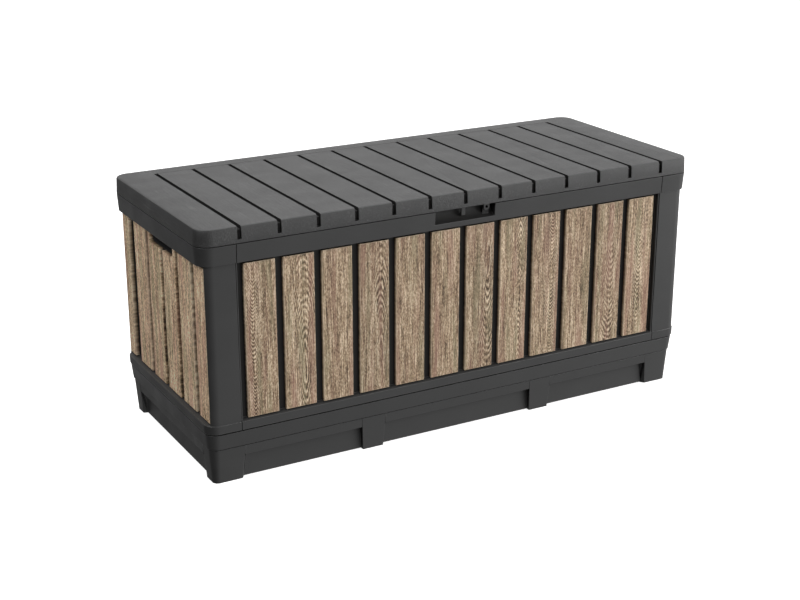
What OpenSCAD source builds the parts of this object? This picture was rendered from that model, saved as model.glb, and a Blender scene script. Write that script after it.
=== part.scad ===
// Deck storage box: a ribbed resin body clad with plank-look slats, on a footed base tray,
// closed by a double-walled lid that turns on three steel pins along the back.
// Millimetres. The origin is on the ground at the middle of the box, the front faces -Y.
// An "inset" is a distance inwards from the outermost faces, measured square to them.

/* [Overall] */
// Width of the box, end to end
box_w = 1276; // [1060:1:1540]
// Depth of the box, front to back
box_d = 525; // [436:1:632]
// Height of the box with the lid shut
box_h = 580; // [480:1:700]
// Plan radius inside the walls' corners; the outer corners are larger by the wall's depth
corner_inner_r = 0.5; // [0.5:0.5:6]
// Thickness of a moulded skin
skin = 4; // [3:0.25:5]

/* [Lid] */
// Height of the lid's edge
lid_h = 36.8; // [30:0.1:46]
// Dark gap between the lid and the walls
seam_gap = 1.6; // [1.2:0.1:2.4]
// How far the lid's edge leans in over its height
lid_lean = 1.5; // [0.5:0.1:3]
// Rounding along the lid's top edge
lid_edge = 4; // [2:0.5:5]
// Width of the grooves between the lid boards
groove_w = 9; // [6:0.5:12]
// Depth of those grooves
groove_d = 9; // [6:0.5:11]
// Height of the solid strip left under each groove on the lid's front
groove_stop = 8; // [5:0.5:12]
// Width of the plain strip along the back of the lid
rear_strip = 44; // [36:1:60]
// Thickness of the lid's inner plate and its ribs
liner_t = 3; // [2:0.5:4]

/* [Walls] */
// Overall thickness of a wall panel, outer face to rib edge
wall_depth = 34; // [31:0.2:41]
// Height of the rim band
rim_h = 41.2; // [36:0.1:50]
// How far the rim band leans in over its height
rim_lean = 2.75; // [1:0.25:4]
// Inset of the corner posts
post_inset = 7.5; // [5:0.5:9]
// Length of the front wall that belongs to each end panel
post_w = 83.5; // [72:0.5:100]
// Gap between neighbouring panels
panel_gap = 1; // [0.6:0.1:2]
// Height of the ledge band at the foot of the walls
ledge_h = 20.8; // [18:0.1:26]
// Inset of the ledge
ledge_inset = 5.6; // [3:0.1:7]
// Rise of the sloping top of the ledge
ledge_slope = 5; // [3:0.5:8]
// Thickness of the stiffening ribs inside the walls
rib_t = 3; // [2:0.5:4]

/* [Planks] */
// Inset of the faces of the front and back planks
plank_inset = 8.2; // [7:0.1:9]
// Inset of the faces of the end planks
end_plank_inset = 14.5; // [13:0.1:16]
// Thickness of a plank
plank_t = 10.3; // [8:0.1:12]
// Gap between planks
plank_gap = 18.2; // [12:0.1:20]
// Gap between an outer plank and the side of its recess
side_gap = 13.4; // [8:0.1:18]
// Gap between the planks and the rim above them
plank_head_gap = 5.6; // [3:0.1:8]
// Gap between the planks and the ledge below them
plank_foot_gap = 0.6; // [0.4:0.1:2]
// Wall of a plank, which is a shallow tray open at its back
plank_wall = 3; // [2:0.25:4]
// Chamfer along a plank's front edges
plank_edge = 1.2; // [0.5:0.1:2]
// Width of the end plank next to the front corner
edge_plank_w = 55.5; // [44:0.5:64]
// How much narrower the end plank next to the back corner is
rear_trim = 20; // [0:1:26]
// Width of a plank's clip tongues
clip_w = 6; // [4:0.5:8]
// Height of a plank's clip tongues
clip_h = 24; // [16:1:32]
// Clearance round a clip tongue
clip_clear = 0.3; // [0.2:0.05:0.5]

/* [Handles] */
// Width of the hand hold in each end
handle_w = 144; // [120:1:150]
// Height of the hand hold below the rim
handle_h = 31; // [26:0.5:37]
// Depth of the hand hold behind the recess floor
handle_d = 22; // [18:0.5:26]
// Radius of its lower corners
handle_r = 12; // [8:0.5:14]
// How far its pocket rises behind the rim
handle_rise = 22; // [16:0.5:26]

/* [Padlock recess] */
// Width of the scooped recess in the front rim
scoop_w = 156; // [130:1:180]
// Radius of the scoop
scoop_r = 30; // [25:0.5:32]
// How far the scoop's centre stands in front of the rim
scoop_out = 5; // [4:0.5:6]
// Distance of the padlock eye from the middle
eye_x = 60; // [50:1:66]
// Radius of the padlock hole
eye_hole_r = 3.5; // [3:0.25:4]
// Outer radius of the eye
eye_r = 7.5; // [6.5:0.25:8.5]
// Thickness of each eye plate
eye_t = 4; // [3:0.25:4.5]
// Width of the locating tongue
tongue_w = 10.5; // [8:0.5:14]
// Width of the tongue's head
tongue_head_w = 27; // [22:1:34]
// Drop of the tongue below the lid's inner plate
tongue_drop = 22; // [18:0.5:24]
// Thickness of the tongue's upright web
tongue_web = 5; // [4:0.5:7]

/* [Base tray] */
// Height of the base tray's outer walls above the ground
base_h = 117.8; // [100:0.1:140]
// How far its upper band leans in
band_lean = 4; // [2:0.25:5]
// Step in from that band to the feet
band_step = 2.3; // [1.5:0.1:4]
// Height of the feet
foot_h = 80.4; // [68:0.1:90]
// Height of the underside of the band between the feet
band_z = 58; // [50:0.5:66]
// Ground clearance of the skirt between the feet
skirt_z = 1; // [0.5:0.5:4]
// Inset of the skirt between the feet
skirt_inset = 30; // [26:0.5:30.5]
// Inset of the feet at the ground
foot_inset = 20.5; // [18:0.5:23]
// Width of a corner foot along the front
corner_foot_w = 95; // [80:1:110]
// Width of a corner foot along the end
corner_foot_d = 67; // [56:1:76]
// Turn of a corner foot's flank seen from above, in degrees
flank_flare = 34; // [20:1:45]
// Lean of that flank, in degrees
flank_lean = 7; // [3:0.5:10]
// Width of a middle foot at its top
mid_foot_w = 62; // [50:1:74]
// Distance of the middle feet from the centre
mid_foot_x = 227; // [190:1:260]
// Thickness of the lip that the walls stand over
base_lip_t = 4; // [3:0.25:5]
// Height of that lip
base_lip_h = 12; // [8:0.5:16]
// Height of the floor's upper face
floor_z = 70; // [66:0.5:76]
// Depth of the ribs under the floor
floor_rib_h = 24; // [16:1:28]

/* [Hinges] */
// Diameter of the hinge pins
pin_d = 6; // [5:0.5:8]
// Inset of the hinge axis
hinge_inset = 7.5; // [7:0.25:8]
// Drop of the hinge axis below the top of the walls
hinge_drop = 8.6; // [8:0.1:10]
// Outer radius of a lid knuckle
knuckle_r = 6.5; // [5.5:0.25:7]
// Width of a lid knuckle
knuckle_w = 30; // [24:1:40]
// Width of each wall bearing beside it
bearing_w = 20; // [14:1:26]
// Distance of the outer hinges from the centre
hinge_x = 420; // [340:1:450]
// Radial clearance of the pins
pin_clear = 0.05; // [0.02:0.01:0.1]
// Widest opening of the lid, in degrees
lid_open = 100; // [92:1:104]

/* [Screws] */
// Diameter of the panel screws
screw_d = 4; // [3.5:0.25:5]
// Length of the screws under the head
screw_l = 14; // [12:0.5:15]
// Clearance between a panel's lap flange and its neighbour
lap_clear = 0.4; // [0.2:0.1:0.8]

/* [Hidden] */
$fn = 64;
eps = 0.01;
half_w = box_w / 2;
half_d = box_d / 2;
corner_r = wall_depth + corner_inner_r;

// Levels
lid_bottom = box_h - lid_h;
rim_top = lid_bottom - seam_gap;
rim_bottom = rim_top - rim_h;
tray_gap = 2.2;
panel_bottom = base_h + tray_gap;
ledge_top = panel_bottom + ledge_h;

// Insets of the wall sections, and the small bevel under the ledge's face
ledge_tuck = 2.7;
ledge_bevel_in = 0.6;
ledge_bevel_up = 2;
recess_inset = plank_inset + plank_t;
end_recess_inset = end_plank_inset + plank_t;
lap_t = 4;
lap_inset = wall_depth + lap_clear;

// Front and back planks: a field of equal planks between the panels' side lips
front_planks = 12;
lip_t = 3;
lip_inset = plank_inset + 0.6;
panel_half_w = half_w - post_w - panel_gap;
field_half_w = panel_half_w - lip_t - side_gap;
pitch = (2 * field_half_w + plank_gap) / front_planks;
plank_w = pitch - plank_gap;
plank_bottom = ledge_top + ledge_slope + plank_foot_gap;
plank_top = rim_bottom - plank_head_gap;
plank_h = plank_top - plank_bottom;

// End planks: the recess runs out where the rounded corner post meets the plank faces
end_planks = 6;
end_opening = half_d - corner_r
    + sqrt(pow(corner_r - post_inset, 2) - pow(corner_r - end_plank_inset, 2));
end_plank_clear = 1;
end_field = end_opening - end_plank_clear;
end_pitch = (end_field - edge_plank_w - plank_gap / 2) / 2;

// Each end plank's front and back edges, from the front corner to the back corner
function end_plank_edges(i) =
    i == 1 ? [-end_field, -2 * end_pitch - plank_gap / 2]
    : i == end_planks ? [2 * end_pitch + plank_gap / 2 + rear_trim, end_field]
    : [(i - 4) * end_pitch + plank_gap / 2, (i - 3) * end_pitch - plank_gap / 2];

// Clips sit this far from a plank's ends, the upper ones below the hand holds
clip_from_end = 60;
clip_past = 2;

// Hinges
axis_y = half_d - hinge_inset;
axis_z = rim_top - hinge_drop;
rear_chamfer = 4;
hinge_side_clear = 0.5;
hinge_places = [-hinge_x, 0, hinge_x];
pin_head_r = pin_d / 2 + 1.5;
pin_head_t = 2;
pin_head_clear = 0.5;
pin_l = knuckle_w + 2 * (hinge_side_clear + bearing_w) + 2;
bearing_depth = 16;
bearing_drop = 13;
stop_gap = 0.5;

// Base tray
foot_top_inset = ledge_inset + ledge_tuck + band_lean + band_step;
shadow_line_h = 2;
shadow_line_d = 2.4;
band_return = 2;
base_lip_clear = 0.4;
base_lip_root = 10;
foot_wall = 5;
flank_room = 30;

// Lid
lid_skin = 3.5;
edge_cut = 0.3 * lid_edge;
strip_line_w = 1.5;
strip_line_d = 1;
channel_clear = 0.5;
rib_setback = 4;
pad_r = 7;
liner_gap = 1;
liner_z = lid_bottom + liner_gap;
liner_inset = skin + lid_lean + 0.5;
lid_rib_top = box_h - groove_d - liner_t - 1;
arm_back = 3;
pad_clear = 0.3;

// Padlock eye and tongue
eye_z = rim_top - eye_hole_r - 3.6;
eye_inset = 8;
staple_inset = eye_inset + eye_t + 1;
staple_top_gap = 0.4;
staple_root = 4;
tongue_depth = 12;
tongue_head_t = 4;
tongue_web_inset = 2;

// Screws
screw_head_r = screw_d;
screw_head_t = 2.4;
screw_heights = [1 / 6, 1 / 2, 5 / 6];
screw_x = panel_half_w - lip_t - 9;
screw_free = 0.3;
boss_wall = 3;
lap_w = 36;

resin = "#3f4042";
resin_dark = "#2c2d2f";
oak = "#a48c70";
steel = "#9a9da0";

function two(i) = i < 10 ? str("0", i) : str(i);

// ---- Shared shapes ----

// A wall section, given as [inset, height] points, run along the front from x0 to x1
module run_x(section, x0, x1) {
    translate([x0, -half_d, 0]) rotate([90, 0, 90])
        linear_extrude(x1 - x0) polygon(section);
}

// The same section run along the left end from y0 to y1
module run_y(section, y0, y1) {
    translate([-half_w, y1, 0]) rotate([90, 0, 0])
        linear_extrude(y1 - y0) polygon(section);
}

// The same section turned round the front left corner
module turn(section) {
    translate([-half_w + corner_r, -half_d + corner_r, 0]) rotate([0, 0, 180])
        rotate_extrude(angle = 90)
            polygon([for (p = section) [corner_r - p[0], p[1]]]);
}

// The section carried all the way round the box
module ring(section) {
    for (back = [0, 1]) mirror([0, back, 0]) {
        run_x(section, -half_w + corner_r, half_w - corner_r);
        for (side = [0, 1]) mirror([side, 0, 0]) turn(section);
    }
    for (side = [0, 1]) mirror([side, 0, 0])
        run_y(section, -half_d + corner_r, half_d - corner_r);
}

// Plan outline of the box at an inset
module outline(inset) {
    r = max(corner_r - inset, 1);
    for (x = [-1, 1], y = [-1, 1])
        translate([x * (half_w - inset - r), y * (half_d - inset - r)]) circle(r);
    square([box_w - 2 * inset - 2 * r, box_d - 2 * inset], center = true);
    square([box_w - 2 * inset, box_d - 2 * inset - 2 * r], center = true);
}

// A flat plate following the outline, between two heights
module plate(inset, z0, z1) {
    translate([0, 0, z0]) linear_extrude(z1 - z0) outline(inset);
}

// A box given by its two corners
module block(a, b) {
    translate(a) cube(b - a);
}

// Both mirror images across the middle of the width
module both_sides() {
    for (side = [0, 1]) mirror([side, 0, 0]) children();
}

// ---- Walls ----

// Section of a wall skin whose face between rim and ledge lies at face_inset
function wall_section(face_inset) = [
    [0, rim_top], [rim_lean, rim_bottom], [face_inset, rim_bottom],
    [face_inset, ledge_top + (face_inset > post_inset ? ledge_slope : 0)],
    [ledge_inset, ledge_top],
    [ledge_inset + ledge_bevel_in, panel_bottom + ledge_bevel_up],
    [ledge_inset + ledge_tuck, panel_bottom],
    [ledge_inset + ledge_tuck + skin, panel_bottom],
    [ledge_inset + ledge_tuck + skin, ledge_top - skin - 2],
    [face_inset + skin, ledge_top - skin],
    [face_inset + skin, rim_bottom + skin], [rim_lean + skin, rim_bottom + skin],
    [skin, rim_top - skin], [wall_depth, rim_top - skin], [wall_depth, rim_top]];

// Clears the back edge of the rim so that the lid can turn down behind it
module rear_edge_cut() {
    reach = rear_chamfer + 2;
    translate([-half_w - 1, half_d, rim_top]) rotate([90, 0, 90])
        linear_extrude(box_w + 2)
            polygon([[-rear_chamfer, eps], [-rear_chamfer, 2], [reach, 2], [reach, -reach],
                     [0, -reach], [0, -rear_chamfer]]);
}

// Openings in a front wall for the clips of its planks
module front_clip_slots() {
    for (i = [1:front_planks], up = [0, 1])
        clip_at(front_plank_x(i), up, clip_clear, 0);
}

function front_plank_x(i) = (i - (front_planks + 1) / 2) * pitch;
function clip_z(up) = up ? plank_top - clip_from_end : plank_bottom + clip_from_end;

// One clip tongue behind a front plank, or its slot when grown by a clearance. The tongue
// reaches this far forwards of the recess floor.
module clip_at(x, up, grow, forwards) {
    w = clip_w + 2 * grow;
    h = clip_h + 2 * grow;
    block([x - w / 2, -half_d + recess_inset - forwards - eps, clip_z(up) - h / 2],
          [x + w / 2, -half_d + recess_inset + skin + clip_past + grow, clip_z(up) + h / 2]);
}

// The long wall shared by the front and the back, drawn at the front
module long_wall() {
    difference() {
        union() {
            run_x(wall_section(recess_inset), -panel_half_w, panel_half_w);
            both_sides() {
                block([panel_half_w - lip_t, -half_d + lip_inset, ledge_top],
                      [panel_half_w, -half_d + wall_depth, rim_bottom + eps]);
                for (f = screw_heights)
                    translate([screw_x, -half_d + recess_inset, screw_z(f)]) rotate([-90, 0, 0])
                        cylinder(r = screw_d / 2 + boss_wall, h = wall_depth - recess_inset);
            }
            for (i = [1:front_planks - 1])
                block([i * pitch - front_planks / 2 * pitch - rib_t / 2,
                       -half_d + recess_inset + skin - eps, ledge_top - skin],
                      [i * pitch - front_planks / 2 * pitch + rib_t / 2,
                       -half_d + wall_depth, rim_bottom + skin + eps]);
        }
        front_clip_slots();
        both_sides() for (f = screw_heights) screw_hole(f, screw_d / 2 + pin_clear);
    }
}

function screw_z(f) = plank_bottom + f * plank_h;

// Hole for one panel screw, driven outwards from inside the box
module screw_hole(f, r) {
    depth = screw_l - lap_t - lap_clear + 1;
    translate([screw_x, -half_d + wall_depth - depth, screw_z(f)]) rotate([-90, 0, 0])
        cylinder(r = r, h = depth + lap_clear + lap_t + 1);
}

// Scooped recess in the middle of the front rim
module scoop(grow) {
    intersection() {
        translate([0, -half_d - scoop_out, rim_top]) rotate([0, 90, 0])
            cylinder(r = scoop_r + grow, h = scoop_w + 2 * grow, center = true);
        block([-half_w, -half_d - 2 * scoop_r, rim_bottom + skin],
              [half_w, 0, rim_top + (grow > 0 ? 0 : 1)]);
    }
}

module front_panel() {
    color(resin) difference() {
        union() {
            difference() {
                union() {
                    long_wall();
                    intersection() {
                        scoop(skin);
                        plate(rim_lean + eps, rim_bottom, rim_top);
                    }
                }
                scoop(0);
            }
            padlock_staple();
        }
        padlock_hole();
    }
}

// Fixed eye inside the recess, right behind the lid's eye
module padlock_staple() {
    block([eye_x - eye_r, -half_d + staple_inset, rim_top - scoop_r + staple_root],
          [eye_x + eye_r, -half_d + staple_inset + eye_t, rim_top - staple_top_gap]);
}

module padlock_hole() {
    translate([eye_x, -half_d + eye_inset - 1, eye_z]) rotate([-90, 0, 0])
        cylinder(r = eye_hole_r, h = staple_inset - eye_inset + eye_t + 2);
}

module back_panel() {
    color(resin) difference() {
        union() {
            mirror([0, 1, 0]) long_wall();
            for (x = hinge_places) hinge_block(x);
        }
        for (x = hinge_places) hinge_cut(x);
        rear_edge_cut();
    }
}

// Solid bearing in the back rim
module hinge_block(x) {
    w = knuckle_w / 2 + hinge_side_clear + bearing_w;
    block([x - w, axis_y - bearing_depth / 2, axis_z - bearing_drop],
          [x + w, half_d - rim_lean, rim_top]);
}

// Notch for the lid's knuckle, bore for the pin and relief for its head. The knuckle's arm
// comes to rest on the notch's floor when the lid is wide open.
module hinge_cut(x) {
    w = knuckle_w / 2 + hinge_side_clear;
    tilt = lid_open - 90;
    floor_drop = (knuckle_r + hinge_inset * sin(tilt)) / cos(tilt) + stop_gap;
    block([x - w, axis_y - knuckle_r - 1, axis_z - floor_drop], [x + w, half_d + 1, box_h]);
    translate([x, axis_y, axis_z]) rotate([0, 90, 0]) {
        cylinder(r = pin_d / 2 + pin_clear, h = pin_l + 2, center = true);
        translate([0, 0, -pin_l / 2 - pin_head_t - 2 * pin_head_clear])
            cylinder(r = pin_head_r + pin_head_clear, h = pin_head_t + 3 * pin_head_clear);
    }
}

// ---- End panels ----

// Outline of the hand hold, in the plane of the end
module handle_outline(grow) {
    w = handle_w + 2 * grow;
    bottom = rim_bottom - handle_h - grow;
    top = rim_bottom + skin + handle_rise;
    r = handle_r + grow;
    translate([-w / 2, bottom + r]) square([w, top - bottom - r]);
    translate([-w / 2 + r, bottom]) square([w - 2 * r, r + eps]);
    for (side = [-1, 1]) translate([side * (w / 2 - r), bottom + r]) circle(r);
}

// The hand hold as a body between two insets of the left end
module handle_body(grow, inset0, inset1) {
    translate([-half_w + inset0, 0, 0]) rotate([90, 0, 90])
        linear_extrude(inset1 - inset0) handle_outline(grow);
}

module left_end_shape() {
    post = wall_section(post_inset);
    seam_x = half_w - post_w;
    pocket_inset = end_recess_inset + skin + handle_d;
    difference() {
        union() {
            // Rounded posts, rim and ledge in one U-shaped skin
            run_y(post, -half_d + corner_r, half_d - corner_r);
            for (back = [0, 1]) mirror([0, back, 0]) {
                turn(post);
                run_x(post, -half_w + corner_r, -seam_x);
            }
            // Plate behind the end planks, its sides, and the ribs inside
            intersection() {
                plate(post_inset, ledge_top - skin, rim_bottom + skin);
                block([-half_w, -end_opening - skin, ledge_top - skin],
                      [-half_w + end_recess_inset + skin, end_opening + skin,
                       rim_bottom + skin]);
            }
            for (i = [-2:2])
                block([-half_w + end_recess_inset + skin - eps, i * end_pitch - rib_t / 2,
                       ledge_top - skin],
                      [-half_w + wall_depth, i * end_pitch + rib_t / 2,
                       rim_bottom + (i == 0 ? -handle_h : skin)]);
            handle_body(skin, end_recess_inset, pocket_inset + skin);
            // Flanges that lap behind the front and back panels
            for (back = [0, 1]) mirror([0, back, 0])
                block([-seam_x, -half_d + lap_inset, ledge_top],
                      [-seam_x + lap_w, -half_d + lap_inset + lap_t, rim_bottom]);
            for (back = [0, 1]) mirror([0, back, 0])
                block([-seam_x - lap_t, -half_d + post_inset + skin - eps, ledge_top],
                      [-seam_x, -half_d + lap_inset + lap_t, rim_bottom]);
        }
        end_recess_cut();
        handle_body(0, rim_lean + skin, pocket_inset);
        for (i = [1:end_planks], up = [0, 1]) end_clip_at(i, up, clip_clear, 0);
        for (back = [0, 1]) mirror([0, back, 0]) for (f = screw_heights)
            mirror([1, 0, 0]) screw_hole(f, screw_d / 2 + screw_free);
        rear_edge_cut();
    }
}

// Shallow recess that the end planks lie in; its floor meets a sloping ledge
module end_recess_cut() {
    translate([-half_w, end_opening, 0]) rotate([90, 0, 0]) linear_extrude(2 * end_opening)
        polygon([[-1, rim_bottom], [end_recess_inset, rim_bottom],
                 [end_recess_inset, ledge_top + ledge_slope], [ledge_inset, ledge_top],
                 [-1, ledge_top]]);
}

// One clip tongue behind an end plank, or its slot when grown by a clearance
module end_clip_at(i, up, grow, forwards) {
    edges = end_plank_edges(i);
    y = (edges[0] + edges[1]) / 2;
    w = clip_w + 2 * grow;
    h = clip_h + 2 * grow;
    block([-half_w + end_recess_inset - forwards - eps, y - w / 2, clip_z(up) - h / 2],
          [-half_w + end_recess_inset + skin + clip_past + grow, y + w / 2,
           clip_z(up) + h / 2]);
}

module left_end_panel() {
    color(resin_dark) left_end_shape();
}

module right_end_panel() {
    color(resin_dark) mirror([1, 0, 0]) left_end_shape();
}

// ---- Planks ----

// A plank of a given width, standing with its face towards -Y and hollow at its back
module plank_body(w) {
    difference() {
        linear_extrude(plank_h)
            polygon([[0, plank_t], [0, plank_edge], [plank_edge, 0], [w - plank_edge, 0],
                     [w, plank_edge], [w, plank_t]]);
        block([plank_wall, plank_wall, plank_wall],
              [w - plank_wall, plank_t + 1, plank_h - plank_wall]);
    }
}

module front_plank(i) {
    color(oak) {
        translate([front_plank_x(i) - plank_w / 2, -half_d + plank_inset, plank_bottom])
            plank_body(plank_w);
        for (up = [0, 1])
            clip_at(front_plank_x(i), up, 0, plank_t - plank_wall);
    }
}

module back_plank(i) {
    mirror([0, 1, 0]) front_plank(i);
}

module left_plank(i) {
    edges = end_plank_edges(i);
    color(oak) difference() {
        union() {
            translate([-half_w + end_plank_inset, edges[1], plank_bottom])
                rotate([0, 0, -90]) plank_body(edges[1] - edges[0]);
            for (up = [0, 1]) end_clip_at(i, up, 0, plank_t - plank_wall);
            if (i == 3 || i == 4) hand_hold_lining(i);
        }
        handle_body(0, -1, end_recess_inset + skin);
    }
}

// Wall of a middle end plank where the hand hold cuts into it
module hand_hold_lining(i) {
    edges = end_plank_edges(i);
    intersection() {
        handle_body(plank_wall, end_plank_inset + plank_wall - eps, end_recess_inset);
        block([-half_w, edges[0] + 1, rim_bottom - handle_h - plank_wall],
              [0, edges[1] - 1, plank_top - 1]);
    }
}

module right_plank(i) {
    mirror([1, 0, 0]) left_plank(i);
}

// ---- Base tray ----

module base_tray() {
    top_inset = ledge_inset + ledge_tuck;
    step_inset = top_inset + band_lean;
    lip_outer = top_inset + skin + base_lip_clear;
    lip_inner = lip_outer + base_lip_t;
    color(resin) difference() {
        union() {
            // Two bands that lean inwards with a shadow line between them, and the lip that
            // the walls stand over
            ring([[top_inset, base_h], [step_inset, foot_h + shadow_line_h],
                  [foot_top_inset + shadow_line_d, foot_h + shadow_line_h],
                  [foot_top_inset + shadow_line_d, foot_h],
                  [foot_top_inset, foot_h], [foot_top_inset + band_return, band_z],
                  [foot_top_inset + band_return + skin, band_z],
                  [foot_top_inset + skin, foot_h + skin], [lip_inner, base_h - base_lip_root],
                  [lip_inner, base_h + base_lip_h], [lip_outer, base_h + base_lip_h],
                  [lip_outer, base_h]]);
            plate(foot_top_inset + skin - 1, floor_z - skin, floor_z);
            difference() {
                square_plate(skirt_inset, skirt_z, floor_z - eps);
                square_plate(skirt_inset + skin, skirt_z - 1, floor_z);
            }
            floor_ribs();
            for (back = [0, 1]) mirror([0, back, 0]) both_sides() {
                corner_foot();
                mid_foot();
            }
        }
        for (back = [0, 1]) mirror([0, back, 0]) both_sides() foot_pockets();
    }
}

// A square-cornered slab at an inset, between two heights
module square_plate(inset, z0, z1) {
    block([-half_w + inset, -half_d + inset, z0], [half_w - inset, half_d - inset, z1]);
}

// Grid under the floor that lines up with the plank gaps
module floor_ribs() {
    x_end = half_w - skirt_inset - skin / 2;
    y_end = half_d - skirt_inset - skin / 2;
    for (i = [0:front_planks])
        block([(i - front_planks / 2) * pitch - rib_t / 2, -y_end, floor_z - skin - floor_rib_h],
              [(i - front_planks / 2) * pitch + rib_t / 2, y_end, floor_z - eps]);
    for (i = [-1:1])
        block([-x_end, i * end_pitch - rib_t / 2, floor_z - skin - floor_rib_h],
              [x_end, i * end_pitch + rib_t / 2, floor_z - eps]);
}

// The tapering outer faces of the feet, all round
module foot_faces() {
    taper = [[foot_inset, 0], [foot_top_inset, foot_h], [corner_r - eps, foot_h],
             [corner_r - eps, 0]];
    ring(taper);
}

// Removes everything on the inner side of a foot's flank, a plane through a place
// on the foot's top edge, turned in plan and leaning over by the given angles
module flank_cut(place, turn_angle, lean) {
    reach = 400;
    translate(place) rotate([0, 0, turn_angle]) rotate([0, lean, 0])
        translate([-reach, -reach, -reach]) cube([reach, 2 * reach, 2 * reach]);
}

// Foot under the front left corner
module corner_foot() {
    x_end = -half_w + corner_foot_w + flank_room;
    y_end = -half_d + corner_foot_d + flank_room;
    difference() {
        intersection() {
            foot_faces();
            block([-half_w - 1, -half_d - 1, 0], [x_end, y_end, foot_h]);
        }
        mirror([1, 0, 0])
            flank_cut([half_w - corner_foot_w, -half_d + foot_top_inset, foot_h],
                      flank_flare, -flank_lean);
        mirror([0, 1, 0])
            flank_cut([-half_w + foot_top_inset, half_d - corner_foot_d, foot_h],
                      90 - flank_flare / 2, -flank_lean / 2);
    }
}

// Foot between the corners
module mid_foot() {
    taper = mid_foot_w / 12;
    intersection() {
        foot_faces();
        translate([-mid_foot_x, 0, 0]) rotate([90, 0, 0]) linear_extrude(half_d + 1)
            polygon([[-mid_foot_w / 2, foot_h], [-mid_foot_w / 2 + taper, 0],
                     [mid_foot_w / 2 - taper, 0], [mid_foot_w / 2, foot_h]]);
    }
}

// Hollows in the feet, open below and to the inside
module foot_pockets() {
    side = foot_wall + 1;
    top = band_z - skin;
    deep = corner_r + 1;
    block([-mid_foot_x - mid_foot_w / 2 + foot_wall + side, -half_d + foot_inset + foot_wall, -1],
          [-mid_foot_x + mid_foot_w / 2 - foot_wall - side, -half_d + deep, top]);
    block([-half_w + foot_inset + side, -half_d + foot_inset + side, -1],
          [-half_w + corner_foot_w - 3 * foot_wall, -half_d + deep, top]);
    block([-half_w + foot_inset + side, -half_d + foot_inset + side, -1],
          [-half_w + deep, -half_d + corner_foot_d - 2 * foot_wall, top]);
}

// ---- Lid ----

module lid_top() {
    edge_z = box_h - lid_edge;
    color(resin) difference() {
        union() {
            ring([[0, lid_bottom], [lid_lean, edge_z], [lid_lean + edge_cut, box_h - edge_cut],
                  [lid_lean + lid_edge, box_h], [lid_lean + lid_edge + skin, box_h],
                  [lid_lean + lid_edge + skin, box_h - lid_skin],
                  [lid_lean + skin, box_h - lid_skin], [skin, lid_bottom]]);
            plate(lid_lean + lid_edge, box_h - lid_skin, box_h);
            for (i = [1:front_planks + 1]) lid_channel(i);
        }
        for (i = [1:front_planks + 1]) lid_groove(i);
        // Fine line where the boards meet the plain strip
        block([-front_planks / 2 * pitch, half_d - rear_strip, box_h - strip_line_d],
              [front_planks / 2 * pitch, half_d - rear_strip + strip_line_w, box_h + 1]);
    }
}

function groove_x(i) = (i - 1 - front_planks / 2) * pitch;

// Walls of one groove, below the lid's skin and behind its front
module lid_channel(i) {
    w = groove_w / 2 + liner_t;
    x = groove_x(i);
    back = half_d - rear_strip + liner_t;
    block([x - w, -half_d + lid_lean + lid_edge, box_h - groove_d - liner_t],
          [x + w, back, box_h - eps]);
    block([x - w, -half_d + lid_lean + 1, lid_bottom + groove_stop - liner_t],
          [x + w, -half_d + groove_d + liner_t, box_h - lid_edge]);
}

// One groove, from the plain strip forwards and down over the lid's front
module lid_groove(i) {
    x = groove_x(i);
    block([x - groove_w / 2, -half_d - 1, box_h - groove_d],
          [x + groove_w / 2, half_d - rear_strip, box_h + 1]);
    block([x - groove_w / 2, -half_d - 1, lid_bottom + groove_stop],
          [x + groove_w / 2, -half_d + groove_d, box_h]);
}

// Inner plate of the lid, with ribs above, resting pads and hinge knuckles below
module lid_liner() {
    front = -half_d + groove_d + liner_t + 1;
    color(resin_dark) difference() {
        union() {
            difference() {
                plate(liner_inset, liner_z, liner_z + liner_t);
                lid_channel_clearance();
            }
            for (i = [0:front_planks - 1])
                block([front_plank_x(i + 1) - rib_t / 2, front + rib_setback, liner_z],
                      [front_plank_x(i + 1) + rib_t / 2, half_d - rear_strip, lid_rib_top]);
            for (i = [-1:1])
                block([front_plank_x(1), i * end_pitch - rib_t / 2, liner_z],
                      [front_plank_x(front_planks), i * end_pitch + rib_t / 2, lid_rib_top]);
            for (x = [-1, 1], y = [-1, 1]) pad(x * (half_w - wall_depth / 2), y * half_d / 2);
            for (x = [-1, 1]) pad(x * hinge_x, -half_d + wall_depth / 2 + 3);
            for (x = hinge_places) knuckle(x);
        }
        for (x = hinge_places) translate([x, axis_y, axis_z]) rotate([0, 90, 0])
            cylinder(r = pin_d / 2 + pin_clear, h = knuckle_w + 2, center = true);
    }
}

// Room for the groove walls that come down behind the lid's front
module lid_channel_clearance() {
    w = groove_w / 2 + liner_t + channel_clear;
    for (i = [1:front_planks + 1])
        block([groove_x(i) - w, -half_d, liner_z - 1],
              [groove_x(i) + w, -half_d + groove_d + liner_t + channel_clear, box_h]);
}

// A resting pad above the rim
module pad(x, y) {
    translate([x, y, rim_top + pad_clear])
        cylinder(r = pad_r, h = liner_z - rim_top - pad_clear + 1);
}

// One lid knuckle: an arm down from the inner plate to an eye round the pin
module knuckle(x) {
    translate([x, axis_y, axis_z]) rotate([0, 90, 0])
        cylinder(r = knuckle_r, h = knuckle_w, center = true);
    block([x - knuckle_w / 2, axis_y - knuckle_r, axis_z],
          [x + knuckle_w / 2, axis_y + arm_back, liner_z + liner_t]);
    block([x - knuckle_w / 2, axis_y, axis_z],
          [x + knuckle_w / 2, axis_y + knuckle_r, lid_bottom - pad_clear]);
}

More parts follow.
